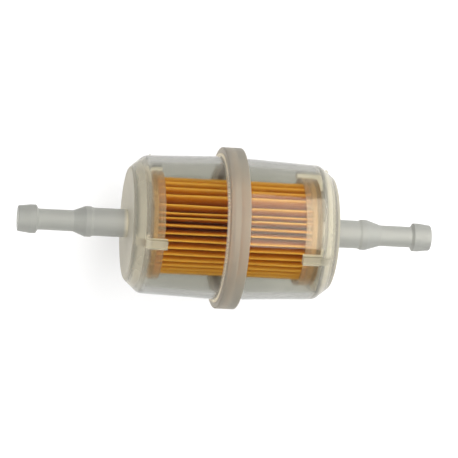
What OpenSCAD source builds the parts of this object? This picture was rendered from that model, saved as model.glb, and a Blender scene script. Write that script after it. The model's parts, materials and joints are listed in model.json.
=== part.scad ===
// Inline fuel filter with stepped hose tails for 6 mm and 8 mm fuel hose.
// The filter's axis lies along X. Fuel enters at -X, passes inwards through a star of
// pleated paper and leaves at +X. The origin is on the axis, in the plane of the weld.

/* [Housing] */
// Outside radius of the inlet half at the weld plane
inlet_r = 21.3; // [21:0.1:21.8]
// Outside radius of the inlet half where its end chamfer starts
inlet_end_r = 20.35; // [20:0.05:20.7]
// Outside radius of the outlet half at the weld plane
outlet_r = 21.1; // [20.9:0.1:21.6]
// Outside radius of the outlet half where its end chamfer starts
outlet_end_r = 20; // [19.9:0.05:20.6]
// Distance from the weld plane to the inlet half's end face
inlet_half_l = 30.1; // [29.8:0.1:32]
// Distance from the weld plane to the outlet half's end face
outlet_half_l = 30.7; // [29.8:0.1:32]
// Length of the end chamfer along the axis
chamfer_l = 4.3; // [3.6:0.1:5]
// Radius of the flat end face
face_r = 16.5; // [15.5:0.1:17.5]
// Wall thickness
wall = 2; // [1.6:0.1:2.2]
// Rounding where the side meets the chamfer
shoulder_round = 3; // [1:0.5:3.5]
// Rounding where the chamfer meets the end face
face_round = 1.2; // [0.5:0.1:2]

/* [Weld flange] */
// Radius of the flange
flange_r = 23.9; // [23.5:0.1:26]
// Thickness of the flange, both halves together
flange_t = 5.9; // [5:0.1:7]
// Rounding of the flange's outer edges
flange_round = 0.4; // [0.2:0.1:0.8]
// Number of driving teeth at the root of the inlet half's flange
tooth_count = 120; // [60:2:160]
// Height of a driving tooth, measured along the axis
tooth_h = 0.45; // [0.3:0.05:1]
// Radius that the driving teeth reach
tooth_r = 22.1; // [21.9:0.1:22.7]

/* [Hose tails] */
// Bore radius of both tails
port_r = 2; // [1.5:0.1:2.3]
// Radius of the neck that a 6 mm hose grips
small_neck_r = 3.1; // [2.8:0.05:3.2]
// Radius of the neck that an 8 mm hose grips
large_neck_r = 4.15; // [3.8:0.05:4.2]
// Radius of the 6 mm barb's crest
small_crest_r = 4.2; // [3.9:0.05:4.3]
// Radius of the 8 mm barb's crest
large_crest_r = 4.5; // [4.3:0.05:4.8]
// Radius of either tail's tip
tip_r = 3.75; // [3.3:0.05:3.85]

/* [Filter element] */
// Outside radius of the end caps
cap_r = 16; // [15.6:0.1:16.4]
// Distance from the weld plane to either cap's outer face
element_half_l = 25.4; // [24.8:0.1:25.8]
// Height of an end cap's skirt
cap_h = 4.65; // [4:0.05:6]
// Number of pleats in the paper
pleats = 38; // [30:1:40]
// Radius of the pleats' outer folds
pleat_tip_r = 14.4; // [13.6:0.1:14.8]
// Radius of the pleats' inner folds
pleat_root_r = 8.6; // [8.4:0.1:9]
// Thickness of the paper
paper_t = 0.35; // [0.25:0.05:0.4]

/* [Hidden] */

$fn = 96;

INLET = -1;
OUTLET = 1;

// Colours
NYLON = [0.72, 0.72, 0.66, 0.45];
CAP_PLASTIC = [0.85, 0.82, 0.74];
PAPER = [0.80, 0.55, 0.20];
ADHESIVE = [0.86, 0.74, 0.52];
SEAL_RUBBER = [0.16, 0.16, 0.17];

// Each half's outside radius at the weld plane and at its shoulder, where the chamfer starts,
// and its length
inlet_side = [inlet_r, inlet_end_r, inlet_half_l];
outlet_side = [outlet_r, outlet_end_r, outlet_half_l];

// Weld joint: a tongue on the outlet half sits in a groove in the inlet half
groove_in_r = 21;
groove_out_r = 22.6;
groove_depth = 1.4;
tongue_gap = 0.2;
tongue_h = 1;

// Driving teeth: where each crest starts and ends, and where the tooth ends, as shares of the pitch
tooth_crest_from = 0.1;
tooth_crest_to = 0.4;
tooth_to = 0.5;

// Hose tails: lengths from the tip towards the end face, [barb head, neck, ramp, 8 mm part]
inlet_tail = [5.95, 10.3, 3.55, 12.25];
outlet_tail = [5.9, 9.3, 4.4, 11.1];
crest_land = 1.6;
crest_back = 0.7;
tip_round = 0.35;

// Ribs inside each half that centre the element and hold it off the end wall
rib_count = 3;
rib_w = 2.6;
rib_gap = 0.1;
rib_stop_r = 12.5;
rib_past_cap = 0.7;
inlet_rib_angle = -18.3;
outlet_rib_angle = 207.5;

// Moulding pips left outside by the gates. The inlet half's smaller one stands on its side at
// inlet_pip_z, the outlet half's stands outlet_pip_share of the way down the chamfer.
pip_r = 0.75;
pip_top_r = 0.6;
pip_h = 0.7;
pip_angle = 92.5;
inlet_pip_size = 0.55;
inlet_pip_z = 24;
outlet_pip_share = 0.6;

// Element
cap_disc_t = 1.4;
cap_skirt_t = 1;
cap_edge_round = 0.4;
adhesive_t = 1.2;
paper_half_l = element_half_l - cap_disc_t - adhesive_t;
tip_fold_r = 0.45;
root_fold_r = 0.32;
fold_steps = 4;
half_pitch = 180 / pleats;
seam_angle = 24.7;
seam_t = 0.28;
seam_past_root = 1.6;
seam_short_of_tip = 0.9;

// Support core
core_r = 8.2;
core_t = 1;
core_half_l = element_half_l - cap_disc_t;
core_hole_r = 1.7;
core_rows = 9;
core_holes_round = 8;

// Outlet connection
stub_r = 4.2;
stub_end_z = 22;
seal_r = 5.8;
seal_round = 0.3;

// Small overlap that joins features of one solid
weld = 0.5;

// How far a cutter runs past what it cuts
past = 1;

// Turns a shape built along +Z so that it points to the inlet or the outlet.
module facing(side) {
    rotate([0, 90 * side, 0]) children();
}

function unit(v) = v / norm(v);
function at_angle(r, angle) = r * [cos(angle), sin(angle)];

// Height of a half's shoulder.
function shoulder_z(side) = side[2] - chamfer_l;

// Outside radius of a half's drafted side at height z.
function side_r(side, z) = side[0] + (side[1] - side[0]) * z / shoulder_z(side);

// Angle between a half's chamfer and the axis.
function chamfer_angle(side) = atan2(side[1] - face_r, chamfer_l);

// Arc about a centre, from one angle to another, as a list of points.
function arc(centre, r, from, to, steps) =
    [for (i = [0:steps]) centre + at_angle(r, from + (to - from) * i / steps)];

// Arc of radius r that rounds the corner p between its neighbours a and b.
function corner_arc(a, p, b, r, steps = 8) =
    let (
        u = unit(a - p),
        v = unit(b - p),
        half = acos(u * v) / 2,
        centre = p + unit(u + v) * r / sin(half),
        first = p + u * r / tan(half) - centre,
        turn = sign(cross(u, v)) * (2 * half - 180)
    )
    arc(centre, r, atan2(first[1], first[0]), atan2(first[1], first[0]) + turn, steps);

// Section of one half's outside, from the axis to the weld plane.
function outside_section(side) =
    let (
        centre = [0, side[2]],
        face = [face_r, side[2]],
        shoulder = [side[1], shoulder_z(side)],
        foot = [side[0], 0]
    )
    [
        centre,
        each corner_arc(centre, face, shoulder, face_round),
        each corner_arc(face, shoulder, foot, shoulder_round),
        foot,
        [0, 0],
    ];

// Inner corners of one half's wall, which lies a wall's thickness inside its outside.
function inner_face_corner(side) =
    [face_r - wall * tan((90 - chamfer_angle(side)) / 2), side[2] - wall];
function inner_shoulder_corner(side) =
    [side[1] - wall, shoulder_z(side) - wall * tan(chamfer_angle(side) / 2)];

// Section of the fuel space inside one half.
function inside_section(side) = [
    [0, side[2] - wall],
    inner_face_corner(side),
    inner_shoulder_corner(side),
    [side[0] - wall, 0],
    [side[0] - wall, -weld],
    [0, -weld],
];

// Height of the tip of one half's tail.
function tail_tip_z(side, lengths) = side[2] + lengths[0] + lengths[1] + lengths[2] + lengths[3];

// Section of a stepped hose tail that starts inside the end wall. Each barb has a short
// taper behind it, a straight land round its crest, and a long taper towards the tip.
function tail_section(side, lengths) =
    let (
        tip_z = tail_tip_z(side, lengths),
        small_z = tip_z - lengths[0],
        ramp_z = small_z - lengths[1],
        large_z = ramp_z - lengths[2],
        small_land_z = small_z + crest_back + crest_land
    )
    [
        [0, side[2] - weld],
        [large_neck_r, side[2] - weld],
        [large_neck_r, large_z - crest_land - crest_back],
        [large_crest_r, large_z - crest_land],
        [large_crest_r, large_z],
        [small_neck_r, ramp_z],
        [small_neck_r, small_z],
        [small_crest_r, small_z + crest_back],
        [small_crest_r, small_land_z],
        each corner_arc([small_crest_r, small_land_z], [tip_r, tip_z], [0, tip_z], tip_round, 4),
        [0, tip_z],
    ];

// One half of the flange, with its outer edge rounded.
module flange_half(side) {
    half_t = flange_t / 2;
    from_r = side[0] - wall / 2;
    rotate_extrude() {
        translate([from_r, 0]) square([flange_r - from_r, half_t - flange_round]);
        translate([from_r, 0]) square([flange_r - flange_round - from_r, half_t]);
        translate([flange_r - flange_round, half_t - flange_round]) circle(flange_round);
    }
}

// Ring of small teeth at the flange's root, which drove the half during welding.
module driving_teeth(side) {
    pitch = 360 / tooth_count;
    root = side[0] - wall / 4;
    in_wall = side[0] - 3 * wall / 4;
    outline = [
        for (i = [0:tooth_count - 1])
            each [
                at_angle(root, pitch * i),
                at_angle(tooth_r, pitch * (i + tooth_crest_from)),
                at_angle(tooth_r, pitch * (i + tooth_crest_to)),
                at_angle(root, pitch * (i + tooth_to)),
            ]
    ];
    translate([0, 0, flange_t / 2 - weld])
        linear_extrude(tooth_h + weld) difference() {
            polygon(outline);
            circle(in_wall);
        }
}

// Ribs on the end wall: each has a step that stops the end cap and a side that centres it.
module centring_ribs(side, first_angle) {
    rib_end_z = element_half_l - cap_h - rib_past_cap;
    in_wall = wall / 2;
    outline = [
        [rib_stop_r, side[2] - in_wall],
        [rib_stop_r, element_half_l],
        [cap_r + rib_gap, element_half_l],
        [cap_r + rib_gap, rib_end_z],
        [side_r(side, rib_end_z) - in_wall, rib_end_z],
        inner_shoulder_corner(side) + [in_wall / 2, 0],
        inner_face_corner(side) + [0, in_wall],
    ];
    for (i = [0:rib_count - 1])
        rotate([90, 0, first_angle + 360 / rib_count * i])
            linear_extrude(rib_w, center = true) polygon(outline);
}

// Blunt pip that stands on the surface at point [radius, height], leaning outwards.
module gate_pip(size, point, lean, angle) {
    rotate([0, 0, angle])
        translate([point[0], 0, point[1]])
            rotate([0, lean, 0])
                translate([0, 0, -weld])
                    cylinder(h = size * pip_h + weld, r1 = size * pip_r, r2 = size * pip_top_r);
}

// What both halves share, built along +Z from the weld plane.
module housing_half(side, tail, rib_angle) {
    difference() {
        union() {
            difference() {
                union() {
                    rotate_extrude() polygon(outside_section(side));
                    flange_half(side);
                }
                rotate_extrude() polygon(inside_section(side));
            }
            centring_ribs(side, rib_angle);
            rotate_extrude() polygon(tail_section(side, tail));
        }
        cylinder(h = tail_tip_z(side, tail) + past, r = port_r);
    }
}

// Inlet half: hose tail, driving teeth and the groove of the weld joint.
module inlet_housing() {
    pip_point = [side_r(inlet_side, inlet_pip_z), inlet_pip_z];
    color(NYLON) facing(INLET) difference() {
        union() {
            housing_half(inlet_side, inlet_tail, inlet_rib_angle);
            driving_teeth(inlet_side);
            gate_pip(inlet_pip_size, pip_point, 90, pip_angle);
        }
        rotate_extrude()
            translate([groove_in_r, -weld]) square([groove_out_r - groove_in_r, groove_depth + weld]);
    }
}

// Outlet half: hose tail, tongue, and the stub that takes clean fuel from the element.
module outlet_housing() {
    pip_point = [outlet_end_r, shoulder_z(outlet_side)]
        + outlet_pip_share * [face_r - outlet_end_r, chamfer_l];
    color(NYLON) facing(OUTLET) {
        housing_half(outlet_side, outlet_tail, outlet_rib_angle);
        gate_pip(1, pip_point, 90 - chamfer_angle(outlet_side), 180 - pip_angle);
        rotate_extrude()
            translate([groove_in_r + tongue_gap, -tongue_h])
                square([groove_out_r - groove_in_r - 2 * tongue_gap, tongue_h + weld]);
        rotate_extrude()
            translate([port_r, stub_end_z]) square([stub_r - port_r, outlet_half_l - stub_end_z - weld]);
    }
}

// Nylon that melted and set round the tongue.
module weld_bead() {
    tongue_in_r = groove_in_r + tongue_gap;
    tongue_out_r = groove_out_r - tongue_gap;
    color(NYLON) facing(INLET) rotate_extrude() polygon([
        [groove_in_r, 0],
        [groove_in_r, groove_depth],
        [groove_out_r, groove_depth],
        [groove_out_r, 0],
        [tongue_out_r, 0],
        [tongue_out_r, tongue_h],
        [tongue_in_r, tongue_h],
        [tongue_in_r, 0],
    ]);
}

// End cap: a disc with a skirt round the ends of the pleats and a hole of hole_r.
module end_cap(hole_r) {
    top_z = element_half_l;
    rotate_extrude() polygon([
        [hole_r, top_z - cap_disc_t],
        [hole_r, top_z],
        each corner_arc([hole_r, top_z], [cap_r, top_z], [cap_r, top_z - cap_h], cap_edge_round),
        [cap_r, top_z - cap_h],
        [cap_r - cap_skirt_t, top_z - cap_h],
        [cap_r - cap_skirt_t, top_z - cap_disc_t],
    ]);
}

module inlet_end_cap() {
    color(CAP_PLASTIC) facing(INLET) end_cap(0);
}

module outlet_end_cap() {
    color(CAP_PLASTIC) facing(OUTLET) end_cap(seal_r);
}

// Ring of adhesive between an end cap, the pleats' ends and the core.
module cap_adhesive(side) {
    color(ADHESIVE) facing(side) rotate_extrude()
        translate([core_r, paper_half_l]) square([cap_r - cap_skirt_t - core_r, adhesive_t]);
}

module inlet_cap_adhesive() {
    cap_adhesive(INLET);
}

module outlet_cap_adhesive() {
    cap_adhesive(OUTLET);
}

// One face of the paper as a closed outline. Straight panels join round outer and inner
// folds, and grow shifts the face outwards (+) or inwards (-) from the paper's middle.
function paper_face(grow) =
    let (
        tip = pleat_tip_r - tip_fold_r - paper_t / 2,
        root = pleat_root_r + root_fold_r + paper_t / 2,
        along = at_angle(tip, half_pitch) - [root, 0],
        lean = atan2(along[1], along[0]) - asin((tip_fold_r + root_fold_r) / norm(along))
    )
    [
        for (i = [0:pleats - 1])
            let (
                root_angle = 2 * half_pitch * i,
                tip_angle = root_angle + half_pitch
            )
            each concat(
                arc(at_angle(root, root_angle), root_fold_r - grow,
                    root_angle + 270 - lean, root_angle + 90 + lean, fold_steps),
                arc(at_angle(tip, tip_angle), tip_fold_r + grow,
                    root_angle + lean - 90, 2 * tip_angle - root_angle - lean + 90, fold_steps)
            )
    ];

// Star of pleated filter paper.
module pleated_paper() {
    color(PAPER) facing(OUTLET)
        rotate([0, 0, 180 - seam_angle - half_pitch])
            translate([0, 0, -paper_half_l])
                linear_extrude(2 * paper_half_l) difference() {
                    polygon(paper_face(paper_t / 2));
                    polygon(paper_face(-paper_t / 2));
                }
}

// Glue line inside the pleat where the two ends of the paper meet.
module paper_seam_glue() {
    inner = pleat_root_r + seam_past_root;
    outer = pleat_tip_r - seam_short_of_tip;
    color(ADHESIVE) facing(OUTLET)
        rotate([0, 0, 180 - seam_angle])
            translate([inner, -seam_t / 2, -paper_half_l])
                cube([outer - inner, seam_t, 2 * paper_half_l]);
}

// Perforated tube that keeps the pleats from collapsing inwards.
module support_core() {
    row_pitch = 2 * core_half_l / (core_rows + 1);
    color(CAP_PLASTIC) facing(OUTLET) difference() {
        translate([0, 0, -core_half_l]) cylinder(h = 2 * core_half_l, r = core_r);
        translate([0, 0, -core_half_l - past])
            cylinder(h = 2 * (core_half_l + past), r = core_r - core_t);
        for (row = [1:core_rows])
            for (i = [0:core_holes_round / 2 - 1])
                translate([0, 0, row * row_pitch - core_half_l])
                    rotate([90, 0, 360 / core_holes_round * (i + row % 2 / 2)])
                        cylinder(h = 2 * (core_r + past), r = core_hole_r, center = true, $fn = 48);
    }
}

// Rubber ring between the outlet cap and the housing's stub.
module outlet_seal_ring() {
    top_z = element_half_l;
    bottom_z = element_half_l - cap_disc_t;
    color(SEAL_RUBBER) facing(OUTLET) rotate_extrude() polygon([
        each corner_arc([stub_r, bottom_z], [stub_r, top_z], [seal_r, top_z], seal_round, 4),
        each corner_arc([stub_r, top_z], [seal_r, top_z], [seal_r, bottom_z], seal_round, 4),
        each corner_arc([seal_r, top_z], [seal_r, bottom_z], [stub_r, bottom_z], seal_round, 4),
        each corner_arc([seal_r, bottom_z], [stub_r, bottom_z], [stub_r, top_z], seal_round, 4),
    ]);
}

inlet_housing();
outlet_housing();
weld_bead();
inlet_end_cap();
outlet_end_cap();
inlet_cap_adhesive();
outlet_cap_adhesive();
pleated_paper();
paper_seam_glue();
support_core();
outlet_seal_ring();
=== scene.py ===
"""Looks for the inline fuel filter: translucent nylon, amber pleated paper, studio light."""
import json
import math
import random

import bpy
from mathutils import Matrix, Vector


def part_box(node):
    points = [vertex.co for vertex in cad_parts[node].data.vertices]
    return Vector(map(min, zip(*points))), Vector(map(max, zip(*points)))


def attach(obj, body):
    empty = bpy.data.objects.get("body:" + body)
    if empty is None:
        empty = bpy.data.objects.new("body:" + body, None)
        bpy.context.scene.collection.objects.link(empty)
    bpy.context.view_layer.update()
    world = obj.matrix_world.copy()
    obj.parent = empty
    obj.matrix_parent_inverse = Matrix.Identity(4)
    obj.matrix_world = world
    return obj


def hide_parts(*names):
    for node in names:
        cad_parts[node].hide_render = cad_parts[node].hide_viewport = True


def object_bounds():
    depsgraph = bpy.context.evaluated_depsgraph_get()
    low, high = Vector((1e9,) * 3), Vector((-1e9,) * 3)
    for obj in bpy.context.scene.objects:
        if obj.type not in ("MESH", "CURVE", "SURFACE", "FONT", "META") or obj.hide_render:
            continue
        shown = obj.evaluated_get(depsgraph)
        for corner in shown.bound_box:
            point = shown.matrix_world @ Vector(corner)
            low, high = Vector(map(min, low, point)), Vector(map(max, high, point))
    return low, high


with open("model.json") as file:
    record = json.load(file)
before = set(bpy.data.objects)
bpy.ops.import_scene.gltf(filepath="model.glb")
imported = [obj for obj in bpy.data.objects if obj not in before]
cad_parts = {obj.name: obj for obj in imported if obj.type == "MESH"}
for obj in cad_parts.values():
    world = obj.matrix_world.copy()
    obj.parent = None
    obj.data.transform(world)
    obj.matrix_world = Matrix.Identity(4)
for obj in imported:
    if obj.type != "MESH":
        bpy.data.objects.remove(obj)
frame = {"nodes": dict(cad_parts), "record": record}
cad_low, cad_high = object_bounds()
MM = 0.001


# ---------------------------------------------------------------- sizes read off the frame, in mm
def low_corner(node):
    return Vector(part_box(node)[0]) / MM


def high_corner(node):
    return Vector(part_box(node)[1]) / MM


FLANGE_R = cad_high.z / MM
CAP_R = high_corner("outlet_end_cap").z
ELEMENT_END = high_corner("outlet_end_cap").x
BEAD_DEPTH = -low_corner("weld_bead").x
CORE_R = high_corner("support_core").z
PAPER_R = high_corner("pleated_paper").z

# ---------------------------------------------------------------- camera, in metres
VIEW_TILT = math.radians(9.6)  # the inlet end leans towards the camera
VIEW_ROLL = math.radians(2.8)  # the axis drops to the right in the picture
VIEW_DISTANCE = 0.77  # from the filter's axis
VIEW_WIDTH = 0.1355  # width of the picture at the filter's axis
VIEW_CENTRE = (0.494 * MM, -0.222 * MM)  # how far its middle is right of and above the origin
NEAREST = 0.01
FARTHEST = 20
SENSOR = 36.0  # in mm, as Blender wants it


def make_camera():
    """Looks down on the filter, a little from its inlet end."""
    back = Vector((-math.sin(VIEW_TILT), 0, math.cos(VIEW_TILT)))
    along = (Vector((1, 0, 0)) + back * math.sin(VIEW_TILT)).normalized()
    across = back.cross(along)
    right = math.cos(VIEW_ROLL) * along + math.sin(VIEW_ROLL) * across
    up = math.cos(VIEW_ROLL) * across - math.sin(VIEW_ROLL) * along
    data = bpy.data.cameras.new("camera")
    data.sensor_width = SENSOR
    data.lens = SENSOR * VIEW_DISTANCE / VIEW_WIDTH
    data.clip_start = NEAREST
    data.clip_end = FARTHEST
    camera = bpy.data.objects.new("camera", data)
    bpy.context.scene.collection.objects.link(camera)
    turn = Matrix((right, up, back)).transposed().to_4x4()
    aim = right * VIEW_CENTRE[0] + up * VIEW_CENTRE[1]
    camera.matrix_world = Matrix.Translation(aim + back * VIEW_DISTANCE) @ turn
    bpy.context.scene.camera = camera


# ---------------------------------------------------------------- node helpers
class Tree:
    """A material's node tree with short calls to add nodes and links."""

    def __init__(self, name):
        self.material = bpy.data.materials.new(name)
        self.material.use_nodes = True
        self.nodes = self.material.node_tree.nodes
        self.nodes.clear()
        self.output = self.nodes.new("ShaderNodeOutputMaterial")

    def link(self, source, target):
        self.material.node_tree.links.new(source, target)

    def add(self, kind, **values):
        """Adds a node. A value names an input socket, with _ for a space, or a property."""
        node = self.nodes.new("ShaderNode" + kind)
        for key, value in values.items():
            socket = node.inputs.get(key.replace("_", " "))
            if socket is None:
                setattr(node, key, value)
            elif isinstance(value, bpy.types.NodeSocket):
                self.link(value, socket)
            else:
                socket.default_value = value
        return node

    def place(self, stretch=(1, 1, 1)):
        """The point on the surface in millimetres of the row's frame, stretched."""
        source = self.add("NewGeometry").outputs["Position"]
        scale = tuple(s / MM for s in stretch)
        return self.add("Mapping", Vector=source, Scale=scale).outputs[0]

    def noise(self, scale, detail=3.0, stretch=(1, 1, 1), roughness=0.5):
        """Noise of about scale features a millimetre."""
        node = self.add(
            "TexNoise", Vector=self.place(stretch), Scale=scale, Detail=detail, Roughness=roughness
        )
        return node.outputs["Fac"]

    def spread(self, source, low, high, between=(0.3, 0.7)):
        """Maps a range of the source, by default where noise mostly lies, onto low to high."""
        node = self.add("MapRange", clamp=True)
        self.link(source, node.inputs["Value"])
        node.inputs["From Min"].default_value = between[0]
        node.inputs["From Max"].default_value = between[1]
        node.inputs["To Min"].default_value = low
        node.inputs["To Max"].default_value = high
        return node.outputs["Result"]

    def past(self, length, edge):
        """A factor that rises from 0 to 1 as the length crosses the edge, a (start, end) pair."""
        return self.spread(length, 0, 1, edge)

    def short_of(self, length, edge):
        """A factor that falls from 1 to 0 as the length crosses the edge."""
        return self.spread(length, 1, 0, edge)

    def share(self, factor, amount):
        """A 0 to 1 factor turned into one from 0 to the amount."""
        return self.spread(factor, 0, amount, (0, 1))

    def colours(self, source, *stops):
        """A colour ramp through (position, colour) stops."""
        node = self.add("ValToRGB")
        ramp = node.color_ramp
        while len(ramp.elements) < len(stops):
            ramp.elements.new(0.5)
        for element, (position, colour) in zip(ramp.elements, stops):
            element.position = position
            element.color = (*colour, 1)
        self.link(source, node.inputs["Fac"])
        return node.outputs["Color"]

    def bump(self, source, height_mm):
        """A bump whose full height is height_mm."""
        node = self.add("Bump", Strength=1.0, Distance=height_mm * MM, Height=source)
        return node.outputs["Normal"]

    def blend(self, factor, one, other):
        """A colour that goes from one to the other as the factor goes from 0 to 1."""
        node = self.add("Mix", data_type="RGBA")
        colour_sockets = [socket for socket in node.inputs if socket.type == "RGBA"]
        self.link(factor, node.inputs["Factor"])
        self.link(one, colour_sockets[0])
        self.link(other, colour_sockets[1])
        return next(socket for socket in node.outputs if socket.type == "RGBA")

    def work_out(self, operation, *sources):
        """The result of a sum on the factors given."""
        node = self.add("Math", operation=operation)
        for socket, source in zip(node.inputs, sources):
            self.link(source, socket)
        return node.outputs[0]

    def most(self, first, *others):
        """The largest of the factors given."""
        for other in others:
            first = self.work_out("MAXIMUM", first, other)
        return first

    def least(self, one, other):
        """The smaller of two factors."""
        return self.work_out("MINIMUM", one, other)

    def plus(self, one, other):
        return self.work_out("ADD", one, other)

    def axis_place(self):
        """Distance from the weld plane and from the filter's axis, in millimetres."""
        split = self.add("SeparateXYZ", Vector=self.place())
        across = self.add("CombineXYZ", Y=split.outputs["Y"], Z=split.outputs["Z"])
        length = self.add("VectorMath", operation="LENGTH")
        self.link(across.outputs[0], length.inputs[0])
        return self.work_out("ABSOLUTE", split.outputs["X"]), length.outputs["Value"]

    def finish(self, shader):
        self.link(shader, self.output.inputs["Surface"])
        return self.material


# ---------------------------------------------------------------- materials
# Edges that the nylon's look changes across, as (start, end) in mm. The first group is measured
# along the axis from the weld plane, and the second outwards from the axis.
FLANGE_SIDE = (3.0, 3.5)
JOINT_SIDE = (BEAD_DEPTH + 0.2, BEAD_DEPTH + 0.4)
SHOULDER = (ELEMENT_END - 0.9, ELEMENT_END + 1.6)
BEFORE_END_WALL = (ELEMENT_END + 2.2, ELEMENT_END + 2.7)
END_WALL = (ELEMENT_END + 3.2, ELEMENT_END + 4.8)
TAIL = (ELEMENT_END + 5.0, ELEMENT_END + 6.0)

RIB_TOP = (CAP_R + 1.2, CAP_R + 1.6)
WALL_MIDDLE = (CAP_R + 3.5, CAP_R + 3.8)
FLANGE_FOOT = (FLANGE_R - 2.7, FLANGE_R - 2.1)
FLANGE_RIM = (FLANGE_R - 0.6, FLANGE_R - 0.4)

NYLON_IOR = 1.36
WARM_SHEEN = (1.0, 0.88, 0.72, 1)  # colour of what the nylon and the caps reflect
DIMMING = 120.0  # light lost inside the nylon, per metre of the way through


def nylon():
    """Natural nylon: clear enough to see through where the wall is thin, milky where it's thick."""
    tree = Tree("nylon")
    flow = tree.noise(0.12, detail=2.0, stretch=(0.35, 1, 1))
    grain = tree.noise(2.2, detail=2.0)
    distance, radius = tree.axis_place()
    shoulder = tree.past(distance, SHOULDER)
    end = tree.past(distance, END_WALL)
    tail = tree.past(distance, TAIL)
    flange = tree.most(tree.past(radius, FLANGE_FOOT), tree.short_of(distance, FLANGE_SIDE))
    joint_free = tree.most(tree.past(radius, FLANGE_RIM), tree.past(distance, JOINT_SIDE))
    rib = tree.least(tree.short_of(radius, RIB_TOP), tree.short_of(distance, BEFORE_END_WALL))
    thick = tree.most(end, rib, flange)

    clear = tree.colours(flow, (0.3, (0.73, 0.73, 0.665)), (0.7, (0.79, 0.79, 0.725)))
    warm = tree.colours(flow, (0.3, (0.70, 0.65, 0.51)), (0.7, (0.77, 0.715, 0.565)))
    cool = tree.colours(flow, (0.3, (0.43, 0.435, 0.405)), (0.7, (0.495, 0.50, 0.465)))
    pink = tree.colours(flow, (0.3, (0.60, 0.55, 0.45)), (0.7, (0.655, 0.60, 0.49)))
    milky = tree.blend(flange, tree.blend(tail, warm, cool), pink)
    colour = tree.blend(tree.most(thick, tree.share(shoulder, 0.6)), clear, milky)

    milkiness = tree.most(
        tree.share(end, 0.54),
        tree.share(tree.least(flange, joint_free), 0.30),
        tree.share(rib, 0.78),
        tree.share(shoulder, 0.30),
    )
    skin = tree.spread(radius, 0.13, 0.08, WALL_MIDDLE)
    roughness = tree.most(skin, tree.share(thick, 0.50), tree.share(shoulder, 0.24))

    shader = tree.add("BsdfPrincipled", IOR=NYLON_IOR, Base_Color=colour)
    shader.inputs["Specular Tint"].default_value = WARM_SHEEN
    tree.link(tree.short_of(milkiness, (0, 1)), shader.inputs["Transmission Weight"])
    tree.link(tree.plus(roughness, tree.spread(grain, -0.03, 0.03)), shader.inputs["Roughness"])
    tree.link(tree.bump(flow, 0.05), shader.inputs["Normal"])
    dimming = tree.add("VolumeAbsorption", Color=(0, 0, 0, 1), Density=DIMMING)
    tree.link(dimming.outputs[0], tree.output.inputs["Volume"])
    return tree.finish(shader.outputs[0])


def melted_nylon():
    """Nylon that melted and set: the same plastic, but cloudier and browner."""
    tree = Tree("melted_nylon")
    cloud = tree.noise(0.15, detail=3.0)
    colour = tree.colours(cloud, (0.35, (0.17, 0.115, 0.075)), (0.65, (0.27, 0.20, 0.14)))
    shader = tree.add("BsdfPrincipled", Base_Color=colour, IOR=NYLON_IOR)
    shader.inputs["Transmission Weight"].default_value = 0.2
    tree.link(tree.spread(cloud, 0.4, 0.55), shader.inputs["Roughness"])
    tree.link(tree.bump(cloud, 0.05), shader.inputs["Normal"])
    return tree.finish(shader.outputs[0])


# Distances from the axis in mm between which the paper goes from darkest to palest: painted shade
# in the inner folds, painted light on the ridges
PAINTED_SHADE_RADII = (CORE_R + 1.3, PAPER_R - 0.2)
PANEL = 0.75  # share of the depth where the panel's own colour shows before the painted ridge light pales it


def filter_paper():
    """Resin-treated amber paper, matt and fibrous, with painted shade in the inner folds and
    painted light on the outer ones.
    """
    tree = Tree("filter_paper")
    fibres = tree.noise(3.0, detail=4.0, stretch=(0.4, 1, 1), roughness=0.65)
    stain = tree.noise(0.12, detail=2.0)
    shade_to_light = tree.past(tree.axis_place()[1], PAINTED_SHADE_RADII)
    # Painted shade at the roots of the pleats and painted light on the ridges, set by distance from
    # the axis
    painted_fold_shade = (0.18, 0.017, 0.0006)
    painted_ridge_light = (0.72, 0.37, 0.05)
    dark = tree.colours(shade_to_light, (0.0, painted_fold_shade), (PANEL, (0.46, 0.112, 0.0012)), (1.0, painted_ridge_light))
    light = tree.colours(shade_to_light, (0.0, painted_fold_shade), (PANEL, (0.55, 0.172, 0.002)), (1.0, painted_ridge_light))
    shader = tree.add("BsdfPrincipled", Roughness=0.85)
    shader.inputs["Specular IOR Level"].default_value = 0.1
    mixed = tree.plus(tree.spread(fibres, 0, 0.5), tree.spread(stain, 0, 0.5))
    tree.link(tree.blend(mixed, dark, light), shader.inputs["Base Color"])
    tree.link(tree.bump(fibres, 0.03), shader.inputs["Normal"])
    return tree.finish(shader.outputs[0])


def cap_plastic():
    """Off-white moulded plastic that lets the pleats show through."""
    tree = Tree("cap_plastic")
    cloud = tree.noise(0.25, detail=2.0)
    colour = tree.colours(cloud, (0.3, (0.72, 0.53, 0.32)), (0.7, (0.78, 0.60, 0.39)))
    shader = tree.add("BsdfPrincipled", Roughness=0.15, IOR=1.4, Base_Color=colour)
    shader.inputs["Specular Tint"].default_value = WARM_SHEEN
    shader.inputs["Transmission Weight"].default_value = 0.80
    tree.link(tree.bump(tree.noise(1.5), 0.01), shader.inputs["Normal"])
    return tree.finish(shader.outputs[0])


def adhesive():
    """Cured tan potting compound."""
    tree = Tree("adhesive")
    cloud = tree.noise(0.6, detail=3.0)
    colour = tree.colours(cloud, (0.3, (0.66, 0.46, 0.22)), (0.7, (0.76, 0.58, 0.32)))
    shader = tree.add("BsdfPrincipled", Base_Color=colour)
    tree.link(tree.spread(cloud, 0.35, 0.55), shader.inputs["Roughness"])
    tree.link(tree.bump(cloud, 0.05), shader.inputs["Normal"])
    return tree.finish(shader.outputs[0])


def seal_rubber():
    """Black fuel-proof rubber."""
    tree = Tree("seal_rubber")
    grain = tree.noise(4.0, detail=3.0)
    colour = tree.colours(grain, (0.3, (0.012, 0.012, 0.013)), (0.7, (0.03, 0.03, 0.032)))
    shader = tree.add("BsdfPrincipled", Base_Color=colour)
    tree.link(tree.spread(grain, 0.5, 0.7), shader.inputs["Roughness"])
    tree.link(tree.bump(grain, 0.01), shader.inputs["Normal"])
    return tree.finish(shader.outputs[0])


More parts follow.
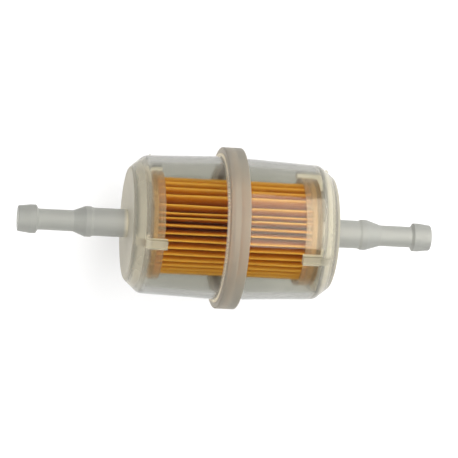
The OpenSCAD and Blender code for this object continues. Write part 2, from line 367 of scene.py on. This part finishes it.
def white_floor():
    """A pale surface that glows a little, as a lit table does."""
    tree = Tree("white_floor")
    shader = tree.add("BsdfPrincipled", Roughness=0.9)
    shader.inputs["Base Color"].default_value = (0.5, 0.5, 0.5, 1)
    shader.inputs["Emission Color"].default_value = (1, 1, 1, 1)
    shader.inputs["Emission Strength"].default_value = 0.54
    return tree.finish(shader.outputs[0])


# ---------------------------------------------------------------- stage
FLOOR_HALF = 1.5
WORLD_STRENGTH = 0.16
SOFTBOX_LEAN = math.radians(15.4)  # from straight above the filter towards +Y


def make_floor():
    """A flat white floor that the filter lies on."""
    z = cad_low.z
    signs = ((-1, -1), (1, -1), (1, 1), (-1, 1))
    corners = [(x * FLOOR_HALF, y * FLOOR_HALF, z) for x, y in signs]
    mesh = bpy.data.meshes.new("floor")
    mesh.from_pydata(corners, [], [(0, 1, 2, 3)])
    mesh.materials.append(white_floor())
    floor = bpy.data.objects.new("floor", mesh)
    bpy.context.scene.collection.objects.link(floor)


def make_softbox(name, towards, distance, size_along, size_across, offset_along, radiance):
    """A rectangular area light that faces back from the direction given."""
    data = bpy.data.lights.new(name, "AREA")
    data.shape = "RECTANGLE"
    data.size = size_along
    data.size_y = size_across
    data.energy = radiance * math.pi * size_along * size_across
    lamp = bpy.data.objects.new(name, data)
    bpy.context.scene.collection.objects.link(lamp)
    back = Vector(towards).normalized()
    along = Vector((1, 0, 0))
    along = (along - along.dot(back) * back).normalized()
    across = back.cross(along)
    turn = Matrix((along, across, back)).transposed().to_4x4()
    lamp.matrix_world = Matrix.Translation(back * distance + along * offset_along) @ turn


def light_stage():
    """A dim white room, a softbox over the outlet half and a fill light at the inlet end."""
    world = bpy.data.worlds.new("studio")
    world.use_nodes = True
    background = world.node_tree.nodes["Background"]
    background.inputs["Color"].default_value = (1, 1, 1, 1)
    background.inputs["Strength"].default_value = WORLD_STRENGTH
    bpy.context.scene.world = world
    make_softbox(
        "softbox",
        towards=(0, math.sin(SOFTBOX_LEAN), math.cos(SOFTBOX_LEAN)),
        distance=0.45,
        size_along=0.30,
        size_across=0.87,
        offset_along=0.242,
        radiance=5.9,
    )
    make_softbox(
        "inlet_fill",
        towards=(-0.7, -0.5, 0.6),
        distance=0.7,
        size_along=0.5,
        size_across=0.5,
        offset_along=0,
        radiance=2.3,
    )


def set_view():
    """Shows the colours as they are, with no film look."""
    bpy.context.scene.view_settings.view_transform = "Standard"
    bpy.context.scene.view_settings.look = "None"


# ---------------------------------------------------------------- CAD nodes
SLOT_MATERIALS = {
    "nylon": nylon,
    "cap_plastic": cap_plastic,
    "filter_paper": filter_paper,
    "adhesive": adhesive,
    "seal_rubber": seal_rubber,
}


def dress_nodes(made):
    """Gives every CAD node the material of its slot in the record, and the weld bead its own."""
    slot_of = {row["node"]: row["material_slot"] for row in frame["record"]["subparts"]}
    for name, node in frame["nodes"].items():
        for slot in node.material_slots:
            slot.material = made[slot_of[name]]
    frame["nodes"]["weld_bead"].material_slots[0].material = melted_nylon()


def clear_shells():
    """Lets the lamps light the element inside the shells."""
    for name in ("inlet_housing", "outlet_housing", "weld_bead", "inlet_end_cap", "outlet_end_cap"):
        frame["nodes"][name].visible_shadow = False


# ---------------------------------------------------------------- pleated paper
# Gaps between the ridges of the loose pleats beside the paper's seam, in degrees. They run from
# the +Y side up to the ridge that faces +Z, and the other pleats share the rest of the turn.
LOOSE_GAPS = (15.4, 11.3, 11.7, 13.9, 9.6, 6.0, 9.1)
PLEATS = 38
PAPER_T = 0.35 * MM
FOLD_REACH = 1.3 * MM  # how far a fold's rounding runs along the panels on either side
FOLD_STEPS = 4  # straight pieces in a fold's curve
RIDGE_RISE = 0.15 * MM  # how far a ridge rises and falls along the element
RIDGE_WANDER = 0.35  # how far a ridge swings round the element, in degrees
VALLEY_WANDER = 0.30  # how far an inner fold does
PAPER_STATIONS = 28  # steps along the element
PAPER_SEED = 7


def drift(rng, size):
    """A slow, smooth wander of about the given size, as a function of a 0 to 1 length."""
    waves = [(n, size * rng.uniform(0.4, 1) / n, rng.uniform(0, math.tau)) for n in (1, 2, 3)]
    return lambda way: sum(
        height * math.sin(math.pi * n * way + phase) for n, height, phase in waves
    )


def ridge_angles():
    """Angles of the outer folds, in degrees from +Z towards -Y."""
    even = (360 - sum(LOOSE_GAPS)) / (PLEATS - len(LOOSE_GAPS))
    gaps = list(LOOSE_GAPS) + [even] * (PLEATS - len(LOOSE_GAPS))
    angle = -sum(LOOSE_GAPS)
    angles = []
    for gap in gaps:
        angles.append(angle)
        angle += gap
    return angles


def around(radius, degrees):
    """A point of the cross-section, at an angle from +Z towards -Y."""
    angle = math.radians(degrees)
    return Vector((-radius * math.sin(angle), radius * math.cos(angle)))


def rounded(corners):
    """A closed line through the corners, each rounded into a short curve."""
    line = []
    for i, corner in enumerate(corners):
        before = (corners[i - 1] - corner).normalized() * FOLD_REACH
        after = (corners[(i + 1) % len(corners)] - corner).normalized() * FOLD_REACH
        for step in range(FOLD_STEPS + 1):
            passed = step / FOLD_STEPS
            line.append(corner + before * (1 - passed) ** 2 + after * passed**2)
    return line


def grown(line, by):
    """The closed line moved sideways."""
    out = []
    for i, point in enumerate(line):
        along = (line[(i + 1) % len(line)] - line[i - 1]).normalized()
        out.append(point + Vector((along.y, -along.x)) * by)
    return out


def paper_faces(rng):
    """Stations of the paper's two faces along the element, each a closed line of (y, z)."""
    box_low, box_high = (Vector(corner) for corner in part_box("pleated_paper"))
    # Rounding pulls a ridge in by about half its reach, so its corner starts that much further out
    tip_r = box_high.z - PAPER_T / 2 + FOLD_REACH / 2 - RIDGE_RISE
    root_r = CORE_R * MM + PAPER_T / 2
    ridges = ridge_angles()
    turn = [drift(rng, RIDGE_WANDER) for _ in ridges]
    rise = [drift(rng, RIDGE_RISE / 2) for _ in ridges]
    sway = [drift(rng, VALLEY_WANDER) for _ in ridges]
    faces = []
    for station in range(PAPER_STATIONS + 1):
        way = station / PAPER_STATIONS
        corners = []
        for i, ridge in enumerate(ridges):
            following = ridges[(i + 1) % PLEATS] + (360 if i + 1 == PLEATS else 0)
            corners.append(around(tip_r + rise[i](way), ridge + turn[i](way)))
            corners.append(around(root_r, (ridge + following) / 2 + sway[i](way)))
        line = rounded(corners)
        x = box_low.x + (box_high.x - box_low.x) * way
        faces.append((x, grown(line, PAPER_T / 2), grown(line, -PAPER_T / 2)))
    return faces


def paper_quads(count):
    """Faces of a tube whose every station has count outer points and then count inner ones."""
    quads = []
    for station in range(PAPER_STATIONS):
        here = station * 2 * count
        there = here + 2 * count
        for outer in range(count):
            next_outer = (outer + 1) % count
            inner = outer + count
            next_inner = next_outer + count
            quads.append((here + outer, here + next_outer, there + next_outer, there + outer))
            quads.append((here + next_inner, here + inner, there + inner, there + next_inner))
    last = PAPER_STATIONS * 2 * count
    for outer in range(count):
        next_outer = (outer + 1) % count
        inner = outer + count
        next_inner = next_outer + count
        quads.append((next_outer, outer, inner, next_inner))
        quads.append((last + outer, last + next_outer, last + next_inner, last + inner))
    return quads


def make_paper(material):
    """The pleated paper, with folds that wander a little as real ones do."""
    faces = paper_faces(random.Random(PAPER_SEED))
    points = []
    for x, outer, inner in faces:
        points += [(x, *p) for p in outer] + [(x, *p) for p in inner]
    mesh = bpy.data.meshes.new("paper")
    mesh.from_pydata(points, [], paper_quads(len(faces[0][1])))
    mesh.polygons.foreach_set("use_smooth", [True] * len(mesh.polygons))
    mesh.materials.append(material)
    paper = bpy.data.objects.new("paper", mesh)
    bpy.context.scene.collection.objects.link(paper)
    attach(paper, "root")
    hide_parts("pleated_paper")


make_camera()
make_floor()
light_stage()
set_view()
materials = {slot: make() for slot, make in SLOT_MATERIALS.items()}
dress_nodes(materials)
make_paper(materials["filter_paper"])
clear_shells()
